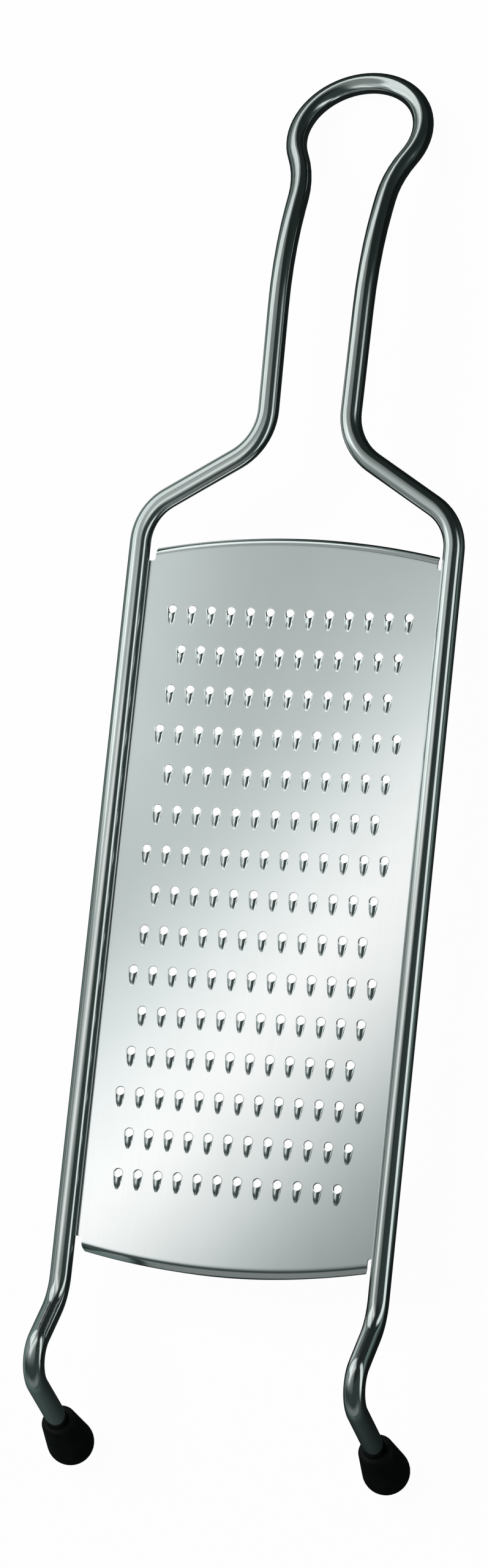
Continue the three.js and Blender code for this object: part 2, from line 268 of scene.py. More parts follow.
def make_wire_frame():
    x_axis, z_axis = Vector((1, 0, 0)), Vector((0, 0, 1))
    knee_turn = SHIN_ANGLE + KNEE_ANGLE
    shoulder_turn = math.atan2(RAIL_X - HANDLE_X, HANDLE_Y - SHOULDER_Y)
    shoulder_length = math.hypot(RAIL_X - HANDLE_X, HANDLE_Y - SHOULDER_Y)
    handle_turn = shoulder_turn + HANDLE_LEAN
    wire_end = BALL_CENTRE + SHIN_UP * (COLLAR_REACH - SOCKET_DEPTH + WIRE_END_GAP)

    bender = WireBender("wire", wire_end, SHIN_UP)
    bender.straight((KNEE - wire_end).length - bend_run(knee_turn, KNEE_BEND))
    bender.bend(-x_axis, knee_turn, KNEE_BEND)
    bender.straight(KNEE_LENGTH - bend_run(knee_turn, KNEE_BEND) - bend_run(KNEE_ANGLE, LEG_BEND))
    bender.bend(x_axis, KNEE_ANGLE, LEG_BEND)
    bender.straight(
        SHOULDER_Y - LEG_Y - bend_run(KNEE_ANGLE, LEG_BEND) - bend_run(shoulder_turn, SHOULDER_BEND)
    )
    bender.bend(z_axis, shoulder_turn, SHOULDER_BEND)
    bender.straight(
        shoulder_length - bend_run(shoulder_turn, SHOULDER_BEND) - bend_run(handle_turn, HANDLE_BEND)
    )
    bender.bend(-z_axis, handle_turn, HANDLE_BEND)
    bender.straight((BACK_BEND_Y - bender.at.y) / math.cos(HANDLE_LEAN))

    # the handle bends back towards the table
    ahead = Matrix.Rotation(-BACK_ANGLE, 3, "X") @ bender.heading
    back_axis = bender.heading.cross(ahead).normalized()
    bender.bend(back_axis, bender.heading.angle(ahead), BACK_BEND)

    # the neck swings out and the loop closes round to the middle, in the plane of the bent-back handle
    up = Matrix.Rotation(-BACK_ANGLE, 3, "X") @ z_axis
    onward = Matrix.Rotation(-BACK_ANGLE, 3, "X") @ Vector((0, 1, 0))
    bend_end = Vector((0, BACK_BEND_Y, RAIL_Z))
    bend_end.y += BACK_BEND * math.sin(BACK_ANGLE)
    bend_end.z -= BACK_BEND * (1 - math.cos(BACK_ANGLE))
    loop_centre = bend_end + onward * (LOOP_RUN - BACK_BEND * BACK_ANGLE)
    outwards = bender.heading.cross(up).normalized()
    from_loop = bender.at + outwards * NECK_BEND - loop_centre
    along = from_loop.dot(bender.heading)
    reach = (LOOP_RADIUS + NECK_BEND) ** 2 - from_loop.length_squared + along ** 2
    bender.straight(-along - math.sqrt(reach))
    neck_centre = bender.at + outwards * NECK_BEND
    neck_turn = (-outwards).angle((loop_centre - neck_centre).normalized())
    bender.bend(-up, neck_turn, NECK_BEND)
    bender.bend(up, bender.heading.angle(-x_axis), LOOP_RADIUS)
    stretch(x=0)

    # the end of the wire in the foot is closed, and the other half mirrored
    pick(lambda co: (co - wire_end).dot(SHIN_UP) < WIRE_NEAR and co.y < KNEE.y)
    bpy.ops.mesh.edge_face_add()
    leave_edit()
    apply_modifier(bender.wire, "MIRROR", use_axis=(True, False, False), merge_threshold=WIRE_NEAR)
    finish_mesh(bender.wire, WIRE_SMOOTH)
    return bender.wire


# Rubber foot: a ball with a tapered collar, drawn out ring by ring from the floor of its socket

def make_foot(name, side):
    socket = WIRE_RADIUS + SOCKET_GAP
    floor = COLLAR_REACH - SOCKET_DEPTH

    # height and radius of each ring: up the socket, over the rounded rim, down the taper and round the ball
    rings = [(COLLAR_REACH - SOCKET_LIP, socket), (COLLAR_REACH, socket + SOCKET_LIP)]
    for i in range(COLLAR_STEPS + 1):
        angle = math.pi / 2 * (1 - i / COLLAR_STEPS)
        drop, inset = COLLAR_ROUND * (1 - math.sin(angle)), COLLAR_ROUND * (1 - math.cos(angle))
        rings.append((COLLAR_REACH - drop, COLLAR_RADIUS - inset))
    slant = math.hypot(COLLAR_REACH, COLLAR_RADIUS)
    taper = math.acos(BALL_RADIUS / slant) - math.atan2(COLLAR_REACH, COLLAR_RADIUS)
    for i in range(BALL_STEPS):
        angle = -taper - (math.pi / 2 - taper) * i / BALL_STEPS
        rings.append((BALL_RADIUS * math.sin(angle), BALL_RADIUS * math.cos(angle)))

    foot = new_ring(name, FOOT_SIDES, socket, (0, 0, floor))
    height, radius = floor, socket
    for next_height, next_radius in rings:
        pull_out((0, 0, next_height - height))
        stretch(next_radius / radius, next_radius / radius, 1, (0, 0, next_height))
        height, radius = next_height, next_radius
    pull_out((0, 0, -BALL_RADIUS - height))
    bpy.ops.mesh.merge(type="CENTER")
    pick(lambda co: abs(co.z - floor) < NEAR and co.xy.length < socket + NEAR)
    bpy.ops.mesh.edge_face_add()
    leave_edit()
    foot.rotation_euler = (SHIN_ANGLE - math.pi / 2, 0, 0)
    foot.location = (side * BALL_CENTRE.x, BALL_CENTRE.y, BALL_CENTRE.z)
    deselect_all()
    foot.select_set(True)
    bpy.context.view_layer.objects.active = foot
    bpy.ops.object.transform_apply(location=True, rotation=True, scale=True)
    finish_mesh(foot, FOOT_SMOOTH)
    return foot


# Grating plate: a tooth is drawn out of its hole and repeated in rows, and the sheet drawn out to its edges

# Rings of a tooth from its hole outwards, in mm: six pairs of points, each half the width, place along, height
TOOTH_RINGS = (
    (
        (0.329, 1.227, 0), (0.898, 0.898, 0), (1.227, 0.329, 0),
        (1.24, -0.34, 0.04), (0.92, -0.95, 0.34), (0.34, -1.30, 0.80),
    ),
    (
        (0.396, 1.478, 0), (1.082, 1.082, 0), (1.478, 0.396, 0),
        (1.26, -0.75, 0.05), (0.93, -1.85, 0.40), (0.32, -2.45, 0.80),
    ),
    (
        (0.409, 1.526, 0), (1.117, 1.117, 0), (1.526, 0.409, 0),
        (1.23, -1.20, 0.04), (0.88, -2.75, 0.34), (0.30, -3.60, 0.62),
    ),
    (
        (0.424, 1.584, 0), (1.160, 1.160, 0), (1.584, 0.424, 0),
        (1.27, -1.60, 0), (0.95, -3.35, 0), (0.34, -4.55, 0),
    ),
    (
        (0.440, 1.642, 0), (1.202, 1.202, 0), (1.642, 0.440, 0),
        (1.37, -1.68, 0), (1.05, -3.47, 0), (0.39, -4.68, 0),
    ),
)
RIM_ANGLES = (75, 45, 15, -15, -45, -75)  # of the six pairs on the bare ring, in degrees


def at_place(co, place):
    """True for a point at a place, on either side of the middle line."""
    x, y, z = place
    return abs(abs(co.x) - x) < NEAR and abs(co.y - y) < NEAR and abs(co.z - z) < NEAR


def make_tooth_cell():
    cell = new_ring("tooth", TOOTH_SIDES, HOLE_RADIUS, turn=(0, 0, math.pi / TOOTH_SIDES))
    angles = [math.radians(angle) for angle in RIM_ANGLES]
    places = [Vector((HOLE_RADIUS * math.cos(a), HOLE_RADIUS * math.sin(a), 0)) for a in angles]
    top, bottom = CELL_MIDDLE + ROW_PITCH / 2, CELL_MIDDLE - ROW_PITCH / 2
    upper, lower = CELL_MIDDLE + ROW_PITCH / 6, CELL_MIDDLE - ROW_PITCH / 6
    half, sixth = PITCH / 2, PITCH / 6
    rings = [[Vector(place) * MM for place in ring] for ring in TOOTH_RINGS]
    rings.append([
        Vector((sixth, top, 0)), Vector((half, top, 0)), Vector((half, upper, 0)),
        Vector((half, lower, 0)), Vector((half, bottom, 0)), Vector((sixth, bottom, 0)),
    ])
    lift = Vector((0, 0, RING_LIFT))
    for number, ring in enumerate(rings):
        if number:
            # each new ring is lifted clear, and its points are then set down in pairs
            pull_out(lift)
            places = [place + lift for place in places]
        for old, new in zip(places, ring):
            pick(lambda co: at_place(co, old))
            shift(0, new.y - old.y, new.z - old.z)
            stretch(x=new.x / old.x)
        places = ring
        pick(lambda co: any(at_place(co, place) for place in places))
    leave_edit()
    return cell


def make_row(cell, teeth, shift_pitches):
    row = copy_of(cell, "row")
    apply_modifier(
        row, "ARRAY", count=teeth, use_relative_offset=False, use_constant_offset=True,
        constant_offset_displace=(PITCH, 0, 0), use_merge_vertices=True, merge_threshold=NEAR,
    )
    edit(row)
    bpy.ops.mesh.select_all(action="SELECT")
    shift(((1 - teeth) / 2 + shift_pitches) * PITCH)

    # both ends reach the same line, in steps that meet the rows above and below
    for side in (-1, 1):
        end = (teeth / 2 + side * shift_pitches) * PITCH
        while end < ROWS_HALF - NEAR:
            pick(lambda co: side * co.x > end - NEAR)
            pull_out((side * PITCH / 3, 0, 0))
            end += PITCH / 3
    leave_edit()
    return row


def make_toothed_sheet():
    cell = make_tooth_cell()
    kinds = [make_row(cell, teeth, shift_pitches) for teeth, shift_pitches in ROW_KINDS]
    rows = []
    for number in range(ROW_COUNT):
        row = copy_of(kinds[number % len(kinds)], f"row_{number}")
        edit(row)
        bpy.ops.mesh.select_all(action="SELECT")
        shift(y=((ROW_COUNT - 1) / 2 - number) * ROW_PITCH)
        leave_edit()
        rows.append(row)
    for scrap in (cell, *kinds):
        bpy.data.objects.remove(scrap)
    plate = join(rows)
    plate.name = plate.data.name = "plate"
    edit(plate)
    bpy.ops.mesh.select_all(action="SELECT")
    bpy.ops.mesh.remove_doubles(threshold=NEAR)
    return plate


def arch_drop(x):
    """How far an arched end lies back from its middle, at a distance from the middle line."""
    radius = (ARCH_HALF ** 2 + ARCH_RISE ** 2) / (2 * ARCH_RISE)
    return radius - math.sqrt(radius ** 2 - min(abs(x), ARCH_HALF) ** 2)


def arch_end(side, straight_y, bend_y):
    """Moves the straight end of the sheet onto its arch, column by column."""
    points = bmesh.from_edit_mesh(bpy.context.object.data).verts
    for column in sorted({round(abs(point.co.x), 6) for point in points if point.select}):
        pick(lambda co: at_place(co, (column, straight_y, 0)))
        shift(y=bend_y - side * arch_drop(column) - straight_y)
    pick(lambda co: abs(co.x) < ARCH_HALF + NEAR and abs(co.y - bend_y + side * arch_drop(co.x)) < NEAR)


def edge_steps(lead, bends, corner):
    """Places along a bent edge, from its bend line: the run along the sheet, how far out and how far down."""
    run, out, down, angle = lead, lead, 0.0, 0.0
    steps = [(run, out, down)]
    for turned, radius, straight in bends:
        sign = 1 if turned > angle else -1
        count = max(FEWEST_STEPS, round(EDGE_STEPS * abs(turned - angle) / (math.pi / 2)))
        for i in range(1, count + 1):
            now = angle + (turned - angle) * i / count
            steps.append((
                run + radius * abs(now - angle),
                out + sign * radius * (math.sin(now) - math.sin(angle)),
                down + sign * radius * (math.cos(angle) - math.cos(now)),
            ))
        run, out, down = steps[-1]
        angle = turned
        if straight:
            run += straight
            out += straight * math.cos(angle)
            down += straight * math.sin(angle)
            steps.append((run, out, down))

    # more places towards the free edge, for its rounded corners
    pairs = list(zip(steps, steps[1:]))
    for i in range(1, EDGE_STEPS):
        wanted = run - corner * (1 - math.sin(math.pi / 2 * i / EDGE_STEPS))
        for (run_a, out_a, down_a), (run_b, out_b, down_b) in pairs:
            if run_a + NEAR < wanted < run_b - NEAR:
                part = (wanted - run_a) / (run_b - run_a)
                steps.append((wanted, out_a + part * (out_b - out_a), down_a + part * (down_b - down_a)))
    return sorted(steps)


def bend_edge(side, lead, bends, corner):
    """Bends the end of the sheet down, bend by bend, with rounded free corners."""
    steps = edge_steps(lead, bends, corner)
    total = steps[-1][0]
    was_out, was_down, was_half = 0.0, 0.0, ARCH_HALF
    for run, out, down in steps:
        into_corner = min(max(run - (total - corner), 0.0), corner)
        half = ARCH_HALF - corner + math.sqrt(corner ** 2 - into_corner ** 2)
        pull_out((0, side * (out - was_out), was_down - down))
        stretch(x=half / was_half)
        was_out, was_down, was_half = out, down, half


def round_hole_rims(plate):
    """Rounds the flat part of each hole's upper rim, from one side of the raised lip to the other."""
    edit(plate)
    bpy.ops.mesh.select_mode(type="EDGE")
    mesh = bmesh.from_edit_mesh(plate.data)
    for line in mesh.edges:
        low = all(abs(point.co.z - FACE_Z) < LIP_START for point in line.verts)
        in_rows = all(abs(point.co.x) < ROWS_HALF for point in line.verts)
        line.select = low and in_rows and line.calc_face_angle(0) > math.radians(HOLE_RIM_SHARP)
    mesh.select_flush_mode()
    bmesh.update_edit_mesh(plate.data)
    bpy.ops.mesh.bevel(offset=HOLE_RIM_ROUND, offset_type="OFFSET", segments=HOLE_RIM_STEPS, affect="EDGES")
    bpy.ops.mesh.select_all(action="SELECT")
    bpy.ops.mesh.dissolve_degenerate(threshold=NEAR)
    bpy.ops.mesh.remove_doubles(threshold=NEAR)
    leave_edit()


def make_plate():
    plate = make_toothed_sheet()
    fillet = NOTCH_FILLET * (1 - math.sqrt(0.5))

    # side margins, with columns for the rounded corners of the notches
    for side in (-1, 1):
        reached = ROWS_HALF
        for target in (ARCH_HALF, ARCH_HALF + fillet, ARCH_HALF + NOTCH_FILLET, PLATE_HALF):
            pick(lambda co: side * co.x > reached - NEAR)
            pull_out((side * (target - reached), 0, 0))
            reached = target

    # end margins, the notches beside the rails, the arched bend line and the rolled edge
    for side, bend_y, lead, bends, corner in (
        (1, TOP_BEND_Y, TOP_LEAD, TOP_BENDS, TOP_CORNER),
        (-1, BOTTOM_BEND_Y, BOTTOM_LEAD, BOTTOM_BENDS, BOTTOM_CORNER),
    ):
        reached = CELL_MIDDLE + side * ROW_COUNT / 2 * ROW_PITCH
        straight_y = bend_y - side * ARCH_RISE
        notch_y = straight_y - side * NOTCH_DEPTH
        pick(lambda co: side * (co.y - reached) > -NEAR)
        pull_out((0, notch_y - reached, 0))
        pick(lambda co: side * (co.y - notch_y) > -NEAR and abs(co.x) < ARCH_HALF + NEAR)
        pull_out((0, side * NOTCH_FILLET, 0))
        pull_out((0, side * (NOTCH_DEPTH - NOTCH_FILLET), 0))
        arch_end(side, straight_y, bend_y)
        bend_edge(side, lead, bends, corner)
        pick(lambda co: at_place(co, (ARCH_HALF + fillet, notch_y, 0)))
        shift(y=side * fillet)
        for hand in (-1, 1):
            pick(lambda co: hand * co.x > 0 and (
                at_place(co, (ARCH_HALF, notch_y, 0))
                or at_place(co, (ARCH_HALF + fillet, notch_y + side * fillet, 0))
                or at_place(co, (ARCH_HALF, notch_y + side * NOTCH_FILLET, 0))
            ))
            bpy.ops.mesh.edge_face_add()

    bpy.ops.mesh.select_all(action="SELECT")
    bpy.ops.mesh.normals_make_consistent(inside=False)
    if sum(face.normal.z for face in bmesh.from_edit_mesh(plate.data).faces) < 0:
        bpy.ops.mesh.flip_normals()
    shift(0, ROWS_Y, FACE_Z)
    leave_edit()
    apply_modifier(plate, "SOLIDIFY", thickness=SHEET, offset=-1, use_even_offset=False)
    round_hole_rims(plate)
    bpy.ops.object.shade_smooth_by_angle(angle=math.radians(PLATE_SMOOTH))
    plate.select_set(False)
    return plate


# Materials

WIRE_LIGHT = (0.61, 0.655, 0.645, 1)
WIRE_DARK = (0.56, 0.61, 0.60, 1)
PLATE_LIGHT = (0.79, 0.84, 0.838, 1)
PLATE_DARK = (0.77, 0.82, 0.818, 1)
RUBBER_BLACK = (0.004, 0.0045, 0.005, 1)
RUBBER_DUSTY = (0.009, 0.0095, 0.010, 1)
DRAWN_STRETCH = (1.0, 0.03, 1.0)  # drawn lines run along the grater
CLOUD_SCALE = 60.0
CLOUD_RANGE = (0.35, 0.65)
MARK_SCALE = 900.0
MARK_RANGE = (0.6, 0.75)
MARK_DULLNESS = 0.25
DULL_RANGE = (0.3, 0.8)
GRAIN_SCALE = 2600.0
GRAIN_HEIGHT = 0.04 * MM
GRAIN_STRENGTH = 0.35
DUST_SCALE = 220.0
DUST_RANGE = (0.45, 0.75)
DUST_ROUGHNESS = (0.3, 0.7, 0.48, 0.66)
RUBBER_GLOSS = 0.15


class Nodes:
    """Adds and links shader nodes in one tree."""

    def __init__(self, tree):
        self.tree = tree
        tree.nodes.clear()

    def add(self, kind, **settings):
        node = self.tree.nodes.new(kind)
        for setting, value in settings.items():
            setattr(node, setting, value)
        return node

    def link(self, source, target):
        self.tree.links.new(source, target)

    def put(self, value, socket):
        if isinstance(value, bpy.types.NodeSocket):
            self.link(value, socket)
        else:
            socket.default_value = value

    def math(self, operation, a, b=None, c=None):
        node = self.add("ShaderNodeMath", operation=operation)
        for value, socket in zip((a, b, c), node.inputs):
            if value is not None:
                self.put(value, socket)
        return node.outputs[0]

    def times(self, value, *others):
        for other in others:
            value = self.math("MULTIPLY", value, other)
        return value

    def plus(self, value, *others):
        for other in others:
            value = self.math("ADD", value, other)
        return value

    def spread(self, value, low, high, to_low=0.0, to_high=1.0, smooth=False):
        node = self.add("ShaderNodeMapRange", interpolation_type="SMOOTHSTEP" if smooth else "LINEAR")
        for number, item in enumerate((value, low, high, to_low, to_high)):
            self.put(item, node.inputs[number])
        return node.outputs[0]

    def noise(self, vector, scale, detail, roughness):
        node = self.add("ShaderNodeTexNoise")
        self.link(vector, node.inputs["Vector"])
        self.put(scale, node.inputs["Scale"])
        node.inputs["Detail"].default_value = detail
        node.inputs["Roughness"].default_value = roughness
        return node.outputs["Fac"]

    def mix_colour(self, factor, a, b):
        node = self.add("ShaderNodeMix", data_type="RGBA")
        self.put(factor, node.inputs["Factor"])
        self.put(a, node.inputs[6])
        self.put(b, node.inputs[7])
        return node.outputs[2]


def make_metal_marks():
    """Fine drawn lines, handling marks and cloudiness of steel, as masks over the surface."""
    group = bpy.data.node_groups.new("metal_marks", "ShaderNodeTree")
    for name, kind in (("Place", "NodeSocketVector"), ("Line scale", "NodeSocketFloat")):
        group.interface.new_socket(name, in_out="INPUT", socket_type=kind)
    for name in ("Lines", "Clouds", "Marks"):
        group.interface.new_socket(name, in_out="OUTPUT", socket_type="NodeSocketFloat")
    n = Nodes(group)
    inside = n.add("NodeGroupInput")
    outside = n.add("NodeGroupOutput")
    drawn = n.add("ShaderNodeMapping")
    drawn.inputs["Scale"].default_value = DRAWN_STRETCH
    n.link(inside.outputs["Place"], drawn.inputs["Vector"])
    lines = n.noise(drawn.outputs[0], inside.outputs["Line scale"], detail=4.0, roughness=0.5)
    clouds = n.noise(inside.outputs["Place"], CLOUD_SCALE, detail=4.0, roughness=0.6)
    marks = n.noise(inside.outputs["Place"], MARK_SCALE, detail=2.0, roughness=0.5)
    n.link(lines, outside.inputs["Lines"])
    n.link(clouds, outside.inputs["Clouds"])
    n.link(n.spread(marks, *MARK_RANGE), outside.inputs["Marks"])
    return group


def new_material(name):
    material = bpy.data.materials.new(name)
    material.use_nodes = True
    n = Nodes(material.node_tree)
    shader = n.add("ShaderNodeBsdfPrincipled")
    n.link(shader.outputs[0], n.add("ShaderNodeOutputMaterial").inputs["Surface"])
    place = n.add("ShaderNodeTexCoord").outputs["Object"]
    return material, n, shader, place


def steel(name, marks, light, dark, line_scale, gloss, matt, bump_height):
    material, n, shader, place = new_material(name)
    group = n.add("ShaderNodeGroup")
    group.node_tree = marks
    n.link(place, group.inputs["Place"])
    group.inputs["Line scale"].default_value = line_scale
    tone = n.spread(group.outputs["Clouds"], *CLOUD_RANGE)
    n.link(n.mix_colour(tone, light, dark), shader.inputs["Base Color"])
    shader.inputs["Metallic"].default_value = 1.0
    dull = n.math("MULTIPLY_ADD", group.outputs["Marks"], MARK_DULLNESS, group.outputs["Lines"])
    n.link(n.spread(dull, *DULL_RANGE, gloss, matt), shader.inputs["Roughness"])
    bump = n.add("ShaderNodeBump")
    bump.inputs["Strength"].default_value = 1.0
    bump.inputs["Distance"].default_value = bump_height
    n.link(group.outputs["Lines"], bump.inputs["Height"])
    n.link(bump.outputs[0], shader.inputs["Normal"])
    return material


def black_rubber():
    material, n, shader, place = new_material("black_rubber")
    grain = n.noise(place, GRAIN_SCALE, detail=2.0, roughness=0.6)
    dust = n.noise(place, DUST_SCALE, detail=5.0, roughness=0.65)
    tone = n.spread(dust, *DUST_RANGE)
    n.link(n.mix_colour(tone, RUBBER_BLACK, RUBBER_DUSTY), shader.inputs["Base Color"])
    n.link(n.spread(dust, *DUST_ROUGHNESS), shader.inputs["Roughness"])
    shader.inputs["Specular IOR Level"].default_value = RUBBER_GLOSS
    bump = n.add("ShaderNodeBump")
    bump.inputs["Strength"].default_value = GRAIN_STRENGTH
    bump.inputs["Distance"].default_value = GRAIN_HEIGHT
    n.link(grain, bump.inputs["Height"])
    n.link(bump.outputs[0], shader.inputs["Normal"])
    return material


def dress(piece, material, nodes):
    piece.data.materials.clear()
    piece.data.materials.append(material)
    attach(piece, "root")
    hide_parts(*nodes)


marks = make_metal_marks()
wire_steel = steel(
    "wire_steel", marks, WIRE_LIGHT, WIRE_DARK,
    line_scale=1500.0, gloss=0.09, matt=0.17, bump_height=0.0015 * MM,
)
plate_steel = steel(
    "plate_steel", marks, PLATE_LIGHT, PLATE_DARK,
    line_scale=1800.0, gloss=0.125, matt=0.165, bump_height=0.0004 * MM,
)
rubber = black_rubber()

dress(make_wire_frame(), wire_steel, ["wire_frame"])
dress(make_plate(), plate_steel, ["grating_plate"])
dress(make_foot("foot_l", -1), rubber, ["foot_left"])
dress(make_foot("foot_r", 1), rubber, ["foot_right"])


# Stage: a pale table, a studio of soft panels and cards that only reflections show, and one soft lamp

# In metres from the middle of the face: a window is out, in, in, out, and a fade is from, to, and both levels
STUDIO_TINT = (0.97, 1.0, 0.99, 1)
STRIP_TINT = (1.06, 1.0, 1.0, 1)
ROOM_TINT = (0.74, 1.0, 0.95, 1)
WALL_DISTANCE = 0.33
GRID_STEPS = 4

# Table
TABLE_SIZE = 12
TABLE_DROP = 0.2 * MM  # below the feet
TABLE_GREY = (0.86, 0.86, 0.86, 1)
TABLE_WHITE = 0.975  # how far the table is white to the camera and in reflections

# Ceiling panel and its bright strip
CEILING_SIZE = (0.9, 1.5)
CEILING_PLACE = (-0.25, 0, 0.2)
CEILING_ACROSS = (-0.05, 0.06, 0.48, 0.25)
CEILING_CORNER_ACROSS = (-0.085, -0.13, 0, 0.2)
CEILING_CORNER_ALONG = (0.02, 0.08, 0.14, 0.19)
CEILING_RIGHT_EDGE = (0.15, 0.42, 0.045, -0.04)
CEILING_RIGHT_FADE = (0.03, -0.03, 0, 1)
CEILING_FRONT_FADE = (-0.24, -0.08, 0.02, 1)
CEILING_HANDLE_FADE = (0.14, 0.2, 1, 0.6)
CEILING_LEFT_FADE = (-0.32, -0.2, 0, 1)
STRIP_X = -0.0660
STRIP_Y = -0.0152
STRIP_TURN = math.radians(40.8)
STRIP_WIDTH = 0.048
STRIP_ENDS = (-0.17, -0.09, 0.105, 0.185)
STRIP_LEVEL = 0.68
POOL_X = -0.17
POOL_Y = -0.07
POOL_WIDTH = 0.09
POOL_LEVEL = 0.12

# Left wall and its softbox
LEFT_WALL_SIZE = (1.8, 2.6)
LEFT_WALL_PLACE = (-WALL_DISTANCE, 0.4, 0.7)
LEFT_WALL_ALONG = (-0.22, -0.06, 0.6, 0.75)
LEFT_WALL_UP = (0.0, 0.1, 0.15, 0.28)
LEFT_WALL_LEVEL = 0.36
SOFTBOX_ALONG = (0.04, 0.11, 1.1, 1.4)
SOFTBOX_UP = (0.03, 0.1, 0.42, 0.56)
SOFTBOX_RISE = (0.3, 1.3, 0, 0.3)
SOFTBOX_LEVEL = 0.82

# Right panel
RIGHT_PANEL_SIZE = (0.8, 1.2)
RIGHT_PANEL_PLACE = (WALL_DISTANCE, 0.05, 0.3)
RIGHT_PANEL_LEAN = 0.37
RIGHT_PANEL_HEIGHT = 0.075
RIGHT_PANEL_UP = (-0.085, -0.04, 0.04, 0.085)
RIGHT_PANEL_ALONG = (-0.28, -0.12, 0.16, 0.36)
RIGHT_PANEL_LEVEL = 1.15
FIRST_BOUNCE = 1.5

# Dark card on the table
DARK_CARD_SIZE = (12, 12)
DARK_CARD_PLACE = (0, 0, -FACE_Z - 0.1 * MM)
LEFT_GLOW = (-0.04, -0.17, 0, 0.24)
FAR_LEFT_GLOW = (-0.17, -0.4, 0, 0.14)
LEFT_GLOW_FADE = (-0.3, -0.1, 0.2, 1)
RIGHT_GLOW = (0.05, 0.2, 0, 0.25)
RIGHT_GLOW_ALONG = (-0.11, -0.06, 0.08, 0.24)
FRONT_GLOW = (-0.14, -0.28, 0.02, 0.14)
FRONT_GLOW_FADE = (-0.02, 0.06, 1, 0.6)
BEHIND_GLOW_ACROSS = (-0.12, -0.08, -0.05, -0.005)
BEHIND_GLOW_ALONG = (0.1, 0.115, 0.16, 0.19)
BEHIND_GLOW_LEVEL = 0.45
ROWS_END = (ROW_COUNT + 1) / 2 * ROW_PITCH
CUT_OUT_ACROSS = (-PLATE_HALF, -ROWS_HALF, ROWS_HALF, PLATE_HALF)
CUT_OUT_ALONG = (-ROWS_END, -ROWS_END + 5 * MM, ROWS_END - 18 * MM, ROWS_END - 10 * MM)

# Room, by the angle from the handle's direction in degrees and by the height of the view
FRONT_AROUND = (110, 150, 0, 1)
FRONT_UP = (0.2, 0.5, 1, 0)
FRONT_LEVEL = 0.18
ROOM_AROUND = (40, 80, 0.03, 0.06)

# Lamp and camera
LAMP_PLACE = Vector((-0.7, 0.5, 1.7))
LAMP_SIZE = 1.2
LAMP_POWER = 24
SENSOR_HEIGHT = 36
LENS = 129.876
CLIP_END = 50
CAMERA_PLACE = Vector((547.385, -202.887, 1463.505)) * MM
CAMERA_RIGHT = Vector((0.93521767, 0.10385224, -0.33850055))
CAMERA_UP = Vector((-0.04597718, 0.98354323, 0.17472499))
CAMERA_BACK = Vector((0.35107551, -0.14784259, 0.92460184))


def make_table():
    deselect_all()
    bpy.ops.mesh.primitive_grid_add(
        x_subdivisions=GRID_STEPS, y_subdivisions=GRID_STEPS, size=TABLE_SIZE, location=(0, 0, -TABLE_DROP),
    )
    table = bpy.context.object
    table.name = "table"
    bpy.ops.object.transform_apply(location=True, rotation=True, scale=True)
    material = bpy.data.materials.new("pale_table")
    material.use_nodes = True
    n = Nodes(material.node_tree)
    path = n.add("ShaderNodeLightPath")
    seen = n.math("MAXIMUM", path.outputs["Is Camera Ray"], path.outputs["Is Glossy Ray"])
    seen = n.math("MAXIMUM", seen, path.outputs["Is Transmission Ray"])
    paper = n.add("ShaderNodeBsdfDiffuse")
    paper.inputs["Color"].default_value = TABLE_GREY
    white = n.add("ShaderNodeEmission")
    white.inputs["Color"].default_value = (1, 1, 1, 1)
    white.inputs["Strength"].default_value = 1.0
    mix = n.add("ShaderNodeMixShader")
    n.link(n.times(seen, TABLE_WHITE), mix.inputs[0])
    n.link(paper.outputs[0], mix.inputs[1])
    n.link(white.outputs[0], mix.inputs[2])
    n.link(mix.outputs[0], n.add("ShaderNodeOutputMaterial").inputs["Surface"])
    table.data.materials.append(material)


def new_card(name, width, length, centre, turn=0.0):
    """A card of the studio that is seen only in reflections, with places from the middle of the face."""
    deselect_all()
    spot = Vector(centre) + Vector((0, ROWS_Y, FACE_Z))
    bpy.ops.mesh.primitive_grid_add(
        x_subdivisions=GRID_STEPS, y_subdivisions=GRID_STEPS, size=1, location=spot, rotation=(0, turn, 0),
    )
    card = bpy.context.object
    card.name = name
    card.scale = (width, length, 1)
    bpy.ops.object.transform_apply(location=True, rotation=True, scale=True)
    card.visible_camera = False
    card.visible_diffuse = False
    card.visible_transmission = False
    card.visible_volume_scatter = False
    card.visible_shadow = False
    material = bpy.data.materials.new(name)
    material.use_nodes = True
    card.data.materials.append(material)
    n = Nodes(material.node_tree)
    from_face = n.add("ShaderNodeVectorMath", operation="SUBTRACT")
    n.link(n.add("ShaderNodeTexCoord").outputs["Object"], from_face.inputs[0])
    from_face.inputs[1].default_value = (0, ROWS_Y, FACE_Z)
    place = n.add("ShaderNodeSeparateXYZ")
    n.link(from_face.outputs[0], place.inputs[0])
    return n, *place.outputs


def bell(n, value, width):
    """A soft bell round zero."""
    square = n.math("POWER", n.math("DIVIDE", value, width), 2.0)
    return n.math("EXPONENT", n.times(square, -1.0))


def window(n, value, low_out, low_in, high_in, high_out):
    """One between two soft edges, and nothing outside them."""
    low = n.spread(value, low_out, low_in, smooth=True)
    high = n.spread(value, high_out, high_in, smooth=True)
    return n.times(low, high)


def glow_through(n, strength, tint=STUDIO_TINT):
    """Finishes a card that adds its light to what is behind it."""
    light = n.add("ShaderNodeEmission")
    n.put(tint, light.inputs["Color"])
    n.link(strength, light.inputs["Strength"])
    both = n.add("ShaderNodeAddShader")
    n.link(light.outputs[0], both.inputs[0])
    n.link(n.add("ShaderNodeBsdfTransparent").outputs[0], both.inputs[1])
    n.link(both.outputs[0], n.add("ShaderNodeOutputMaterial").inputs["Surface"])


